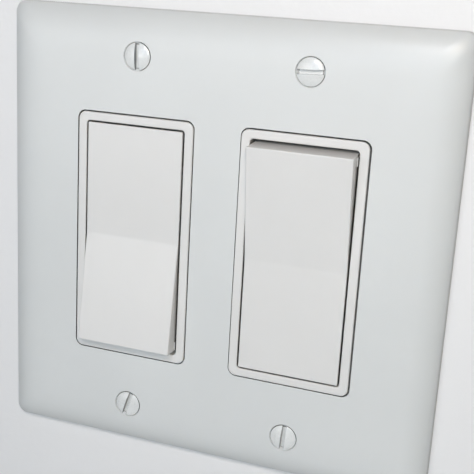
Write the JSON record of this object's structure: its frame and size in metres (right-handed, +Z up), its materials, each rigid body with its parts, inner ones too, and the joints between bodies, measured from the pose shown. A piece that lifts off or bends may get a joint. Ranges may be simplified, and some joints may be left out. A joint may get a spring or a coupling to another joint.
{
  "type": "two-gang rocker light switch",
  "caption": "Two-gang wall plate with a pair of rocker light switches, one pressed at the top and one at the bottom, with straps, housings and contacts.",
  "frame": {"origin": "centre of the wall plate, on the wall's surface, at the foot of the plate's centre rib", "axes": "+X to the right seen from the front, +Y into the wall, +Z up; the rockers face -Y"},
  "size_m": [0.1224, 0.0345, 0.1208],
  "materials": {
    "plate_plastic": "satin moulded white, slightly cool",
    "white_plastic": "satin moulded white, slightly warm",
    "painted_screw": "white enamel with a bare scratched slot",
    "zinc_steel": "bright zinc plate",
    "grey_thermoplastic": "matt moulded light grey",
    "brass": "rolled brass",
    "silver": "silver alloy contact",
    "spring_steel": "drawn steel",
    "green_screw": "green dyed zinc",
    "nylon": "natural nylon",
    "fibre": "pressed fibre board"
  },
  "bodies": {
    "root": {"wall_plate": "plate_plastic", "left_plate_screw_top": "painted_screw", "left_plate_screw_bottom": "painted_screw", "right_plate_screw_top": "painted_screw", "right_plate_screw_bottom": "painted_screw", "left_front_frame": "white_plastic", "left_strap": "zinc_steel", "left_housing": "grey_thermoplastic", "left_box_screw_top": "zinc_steel", "left_box_screw_bottom": "zinc_steel", "left_captive_washer_top": "fibre", "left_captive_washer_bottom": "fibre", "left_rivet_top": "zinc_steel", "left_rivet_bottom": "zinc_steel", "left_ground_screw": "green_screw", "left_common_terminal": "brass", "left_line_terminal": "brass", "left_fixed_contact": "silver", "left_common_screw": "brass", "left_line_screw": "brass", "left_common_wire_clamp": "spring_steel", "left_line_wire_clamp": "spring_steel", "right_front_frame": "white_plastic", "right_strap": "zinc_steel", "right_housing": "grey_thermoplastic", "right_box_screw_top": "zinc_steel", "right_box_screw_bottom": "zinc_steel", "right_captive_washer_top": "fibre", "right_captive_washer_bottom": "fibre", "right_rivet_top": "zinc_steel", "right_rivet_bottom": "zinc_steel", "right_ground_screw": "green_screw", "right_common_terminal": "brass", "right_line_terminal": "brass", "right_fixed_contact": "silver", "right_common_screw": "brass", "right_line_screw": "brass", "right_common_wire_clamp": "spring_steel", "right_line_wire_clamp": "spring_steel"},
    "left_rocker": {"left_rocker": "white_plastic", "left_spring": "spring_steel"},
    "left_plunger": {"left_plunger": "nylon"},
    "left_contact_arm": {"left_contact_arm": "brass", "left_moving_contact": "silver"},
    "right_rocker": {"right_rocker": "white_plastic", "right_spring": "spring_steel"},
    "right_plunger": {"right_plunger": "nylon"},
    "right_contact_arm": {"right_contact_arm": "brass", "right_moving_contact": "silver"}
  },
  "joints": [
    {"name": "left_rocker_tilt", "type": "hinge", "parent": "root", "child": "left_rocker", "pos_m": [-0.0229, -0.0009, 0], "axis": [1, 0, 0], "range_deg": [0, 8]},
    {"name": "left_contact_arm_tilt", "type": "hinge", "parent": "root", "child": "left_contact_arm", "pos_m": [-0.0229, 0.0152, 0], "axis": [1, 0, 0], "range_deg": [-14.4, 0]},
    {"name": "left_plunger_slide", "type": "slide", "parent": "left_rocker", "child": "left_plunger", "axis": [0, -0.9976, 0.0698], "range_m": [0, 0.0008], "stiffness_N_per_m": 200, "deforming": ["left_spring"]},
    {"name": "right_rocker_tilt", "type": "hinge", "parent": "root", "child": "right_rocker", "pos_m": [0.0229, -0.0009, 0], "axis": [-1, 0, 0], "range_deg": [0, 8]},
    {"name": "right_contact_arm_tilt", "type": "hinge", "parent": "root", "child": "right_contact_arm", "pos_m": [0.0229, 0.0152, 0], "axis": [-1, 0, 0], "range_deg": [-14.4, 0]},
    {"name": "right_plunger_slide", "type": "slide", "parent": "right_rocker", "child": "right_plunger", "axis": [0, -0.9976, -0.0698], "range_m": [0, 0.0008], "stiffness_N_per_m": 200, "deforming": ["right_spring"]}
  ],
  "couplings": [
    {"joint": "left_contact_arm_tilt", "follows": "left_rocker_tilt", "ratio": -1.8},
    {"joint": "right_contact_arm_tilt", "follows": "right_rocker_tilt", "ratio": -1.8}
  ]
}
